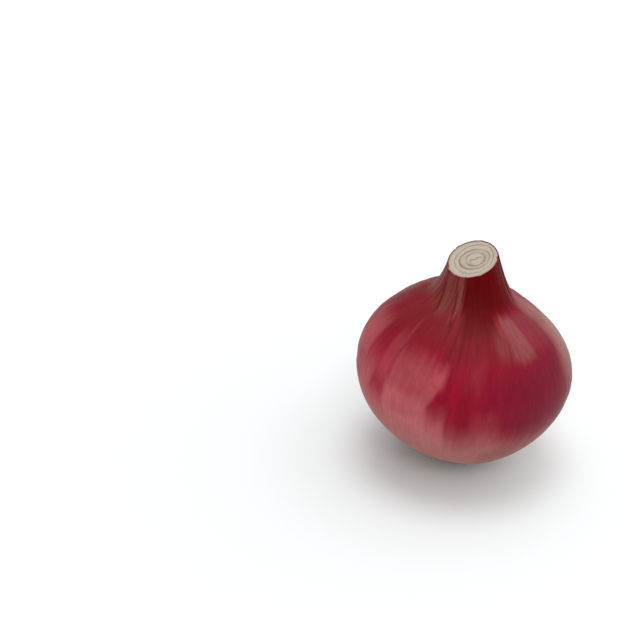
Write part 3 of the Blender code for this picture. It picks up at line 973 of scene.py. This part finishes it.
flesh = Finish("cut_onion_flesh")
fibre = flesh.noise(flesh.stretch(flesh.written("grain", "Vector"), FLESH_FIBRES))
cloud = flesh.noise(flesh.place(), FLESH_CLOUD_SCALE, detail=4.0, roughness=0.65)
outward = flesh.written("share")
colour = flesh.mix(flesh.ramp(fibre, *FIBRE_SPAN), FLESH_CREAM, FLESH_SHADE)
colour = flesh.mix(flesh.ramp(cloud, *SHADED_CLOUDS, 0.0, SHADED_SHARE), colour, FLESH_SHADE)
grey_starts = flesh.ramp(outward, *GREY_STARTS)
grey_stops = flesh.ramp(outward, *GREY_STOPS, GREY_SHARE, 0.0)
colour = flesh.mix(flesh.calc("MULTIPLY", grey_starts, grey_stops), colour, FLESH_GREY)
colour = flesh.mix(flesh.ramp(outward, *PINK_SPAN, 0.0, PINK_SHARE), colour, RIM_PINK)
colour = flesh.mix(flesh.ramp(flesh.written("gap"), *GAP_SPAN, 0.0, GAP_SHARE), colour, GAP_BROWN)
surface = flesh.bump(fibre, FIBRE_BUMP)
surface = flesh.bump(cloud, CLOUD_BUMP, surface)
disc_mesh.materials.append(flesh.finish(
    Base_Color=colour, Roughness=flesh.ramp(cloud, *NOISE_SPAN, *FLESH_ROUGHNESS), Normal=surface,
    Specular_IOR_Level=0.15, Subsurface_Weight=0.08, Subsurface_Scale=1.0 * MM,
))
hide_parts("bulb")
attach(cut_leaf_bases, "root")
print("cut end nodes:", len(flesh.nodes))

# %% [markdown]
# The root plate
#
# Under the bulb the roots grew from a hard, corky plate. Its foot is flat, because the roots
# were trimmed there, and its side is rough. A cone with a bevelled rim is subdivided and its
# side roughened by formula, while the foot stays flat on the floor.

# %% Model the root plate
PLATE_FOOT_RADIUS = 5.0 * MM
PLATE_TOP_RADIUS = 5.5 * MM
PLATE_GAP = 0.12 * MM
PLATE_HEIGHT = SCAR_HEIGHT - PLATE_GAP
PLATE_SIDES = 96
PLATE_BEVEL = 0.35 * MM
PLATE_BEVEL_STEPS = 3
PLATE_CUTS = 5
# Bumps on the side are (count, size in mm, phase). They wind round as they rise
PLATE_BUMPS = ((13, 0.14, 0.7), (23, 0.12, 3.0), (37, 0.08, 5.2))
PLATE_TWIST = 0.5
PLATE_SMOOTH_FOOT = 0.6 * MM
PLATE_SMOOTH_TOP = 0.4 * MM
PLATE_SHARP_ANGLE = math.radians(50.0)
NEARLY_LEVEL = 0.9

bm = bmesh.new()
bmesh.ops.create_cone(
    bm, cap_ends=True, segments=PLATE_SIDES, radius1=PLATE_FOOT_RADIUS,
    radius2=PLATE_TOP_RADIUS, depth=PLATE_HEIGHT,
)
bmesh.ops.translate(bm, verts=bm.verts, vec=(0.0, 0.0, 0.5 * PLATE_HEIGHT))
caps = [face for face in bm.faces if abs(face.normal.z) > NEARLY_LEVEL]
cap_edges = {edge for face in caps for edge in face.edges}
bmesh.ops.bevel(
    bm, geom=list(cap_edges), offset=PLATE_BEVEL, offset_type="OFFSET",
    segments=PLATE_BEVEL_STEPS, profile=0.5, affect="EDGES", material=-1,
)
rises = {edge: abs(edge.verts[0].co.z - edge.verts[1].co.z) for edge in bm.edges}
upright = [edge for edge, rise in rises.items() if rise > 0.5 * PLATE_HEIGHT]
bmesh.ops.subdivide_edges(bm, edges=upright, cuts=PLATE_CUTS)
plate_mesh = mesh_from(bm, "root_plate")
places = vertex_places(plate_mesh)
angle = np.arctan2(places[:, 1], places[:, 0])
height = places[:, 2]
off_foot = soft_step(0.0, PLATE_SMOOTH_FOOT, height)
below_top = soft_step(0.0, PLATE_SMOOTH_TOP, PLATE_HEIGHT - height)
bumps = off_foot * below_top * waves(PLATE_BUMPS, angle + height / MM * PLATE_TWIST) * MM
places[:, :2] *= 1.0 + bumps[:, None] / PLATE_FOOT_RADIUS
set_places(plate_mesh, places)
point_faces_out(plate_mesh)
plate_mesh.set_sharp_from_angle(angle=PLATE_SHARP_ANGLE)
root_plate = add_object("root_plate", plate_mesh)
print("root plate:", len(plate_mesh.polygons), "faces")

# %% [markdown]
# The rootlets
#
# Some two hundred dried rootlets splay out round the plate. They could be hair, but hair is
# not part of the exported mesh, so each is a thin tapering tube of about two dozen faces: a
# small ring whose end face is extruded on from point to point along a crooked path. The draw
# of their lengths and bends is seeded, so the tuft is the same each time.

# %% Draw the rootlets' paths
ROOTLET_STEPS = 6
ROOTLET_THICKNESS = (0.20 * MM, 0.36 * MM)
ROOTLET_START = (0.55, 0.98)
ROOTLET_REACH = (6.0 * MM, 7.8 * MM)
ROOTLET_LOWEST = 0.06 * MM
ROOTLET_HIGHEST = PLATE_HEIGHT - 0.25 * MM
ROOTLET_TIP_RISE = 0.75
ROOTLET_SWING = 0.50
ROOTLET_KINK = 0.22 * MM
# Above 1, the swing and the drop come mostly near the tip
SWING_POWER, DROP_POWER = 1.5, 1.3
BEARING_SPREAD = 0.15
GOLDEN_ANGLE = math.pi * (3.0 - math.sqrt(5.0))


def rootlet_path(rng, index):
    """The crooked line of one rootlet, from the plate out to its tip, and its thickness."""
    bearing = index * GOLDEN_ANGLE + rng.uniform(-BEARING_SPREAD, BEARING_SPREAD)
    thickness = rng.uniform(*ROOTLET_THICKNESS)
    start = PLATE_FOOT_RADIUS * rng.uniform(*ROOTLET_START)
    reach = rng.uniform(*ROOTLET_REACH)
    floor_height = ROOTLET_LOWEST + thickness
    first = rng.uniform(floor_height, ROOTLET_HIGHEST)
    last = floor_height + rng.uniform(0.0, ROOTLET_TIP_RISE) ** 2 * (ROOTLET_HIGHEST - floor_height)
    swing = rng.uniform(-ROOTLET_SWING, ROOTLET_SWING)
    points = []
    for step in range(ROOTLET_STEPS + 1):
        share = step / ROOTLET_STEPS
        radius = start + (reach - start) * share
        turn = bearing + swing * share**SWING_POWER
        height = first + (last - first) * share**DROP_POWER
        kink = [rng.uniform(-ROOTLET_KINK, ROOTLET_KINK) * share for _ in range(3)]
        point = Vector((radius * math.cos(turn), radius * math.sin(turn), height)) + Vector(kink)
        point.z = min(max(point.z, floor_height), ROOTLET_HIGHEST)
        points.append(point)
    return points, thickness


print("steps in a path:", ROOTLET_STEPS)

# %% Grow the rootlets
ROOTLET_COUNT = 220
ROOTLET_SIDES = 4
ROOTLET_TIP_SHARE = 0.30


def ring_matrix(path, step, thickness):
    """Where the tube's ring lies at this step: its place, its direction and its size."""
    ahead = path[min(step + 1, len(path) - 1)]
    behind = path[max(step - 1, 0)]
    turn = (ahead - behind).to_track_quat("Z", "Y").to_matrix().to_4x4()
    size = thickness * (1.0 - (1.0 - ROOTLET_TIP_SHARE) * step / ROOTLET_STEPS)
    return Matrix.Translation(path[step]) @ turn @ Matrix.Scale(size, 4)


def grow_rootlet(tuft, path, thickness, shade):
    """Adds a closed tapering tube, whose end face is extruded from ring to ring, to the tuft."""
    bm = bmesh.new()
    layer = bm.verts.layers.float.new("shade")
    matrix = ring_matrix(path, 0, thickness)
    bmesh.ops.create_circle(bm, cap_ends=True, segments=ROOTLET_SIDES, radius=1.0, matrix=matrix)
    faces = list(bm.faces)
    for step in range(1, ROOTLET_STEPS + 1):
        made = bmesh.ops.extrude_face_region(bm, geom=faces, use_keep_orig=step == 1)["geom"]
        fresh = [item for item in made if isinstance(item, bmesh.types.BMVert)]
        if step > 1:
            bmesh.ops.delete(bm, geom=[face for face in faces if face.is_valid], context="FACES_ONLY")
        faces = [item for item in made if isinstance(item, bmesh.types.BMFace)]
        following = ring_matrix(path, step, thickness)
        bmesh.ops.transform(bm, matrix=following @ matrix.inverted(), verts=fresh)
        matrix = following
    for vert in bm.verts:
        vert[layer] = shade
    mesh = mesh_from(bm, "rootlet")
    tuft.from_mesh(mesh)
    bpy.data.meshes.remove(mesh)


rng = random.Random(SEED)
tuft = bmesh.new()
tuft.verts.layers.float.new("shade")
for index in range(ROOTLET_COUNT):
    path, thickness = rootlet_path(rng, index)
    grow_rootlet(tuft, path, thickness, rng.random())
rootlets_mesh = mesh_from(tuft, "rootlets")
point_faces_out(rootlets_mesh)
rootlets = add_object("rootlets", rootlets_mesh)
print(f"rootlets: {ROOTLET_COUNT} of {len(rootlets_mesh.polygons) // ROOTLET_COUNT} faces each")

# %% [markdown]
# The finish of the dry roots
#
# Dried onion roots are dull, between straw, olive and grey-brown, and no two are quite alike.
# A number that was written on each rootlet picks its shade, and fine noise mottles all of them.

# %% Colour the roots
ROOT_STRAW = srgb(150, 132, 98)
ROOT_OLIVE = srgb(96, 90, 66)
ROOT_DARK = srgb(58, 50, 38)
MOTTLE_SCALE = 900.0
PATCH_SCALE = 260.0
PATCH_SHADES = (0.1, 0.6)
DARK_SPAN, DARK_SHARE = (0.45, 0.70), 0.8
ROOT_ROUGHNESS = (0.78, 0.95)
ROOT_BUMP = 0.12 * MM


def root_finish(name, shade_written):
    """Dull straw and olive, by a number written on the mesh or else by patches of noise."""
    dry = Finish(name)
    mottle = dry.noise(dry.place(), MOTTLE_SCALE, roughness=0.6)
    patches = dry.noise(dry.place(), PATCH_SCALE, detail=2.0)
    shade = dry.written("shade") if shade_written else dry.ramp(patches, *NOISE_SPAN, *PATCH_SHADES)
    colour = dry.mix(shade, ROOT_OLIVE, ROOT_STRAW)
    colour = dry.mix(dry.ramp(mottle, *DARK_SPAN, 0.0, DARK_SHARE), colour, ROOT_DARK)
    surface = dry.bump(mottle, ROOT_BUMP)
    return dry.finish(Base_Color=colour, Roughness=dry.ramp(patches, *NOISE_SPAN, *ROOT_ROUGHNESS),
                      Normal=surface, Specular_IOR_Level=0.15)


rootlets_mesh.materials.append(root_finish("dry_rootlets", shade_written=True))
plate_mesh.materials.append(root_finish("corky_plate", shade_written=False))
for piece in (root_plate, rootlets):
    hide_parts("root_tuft")
    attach(piece, "root")
print("roots coloured")
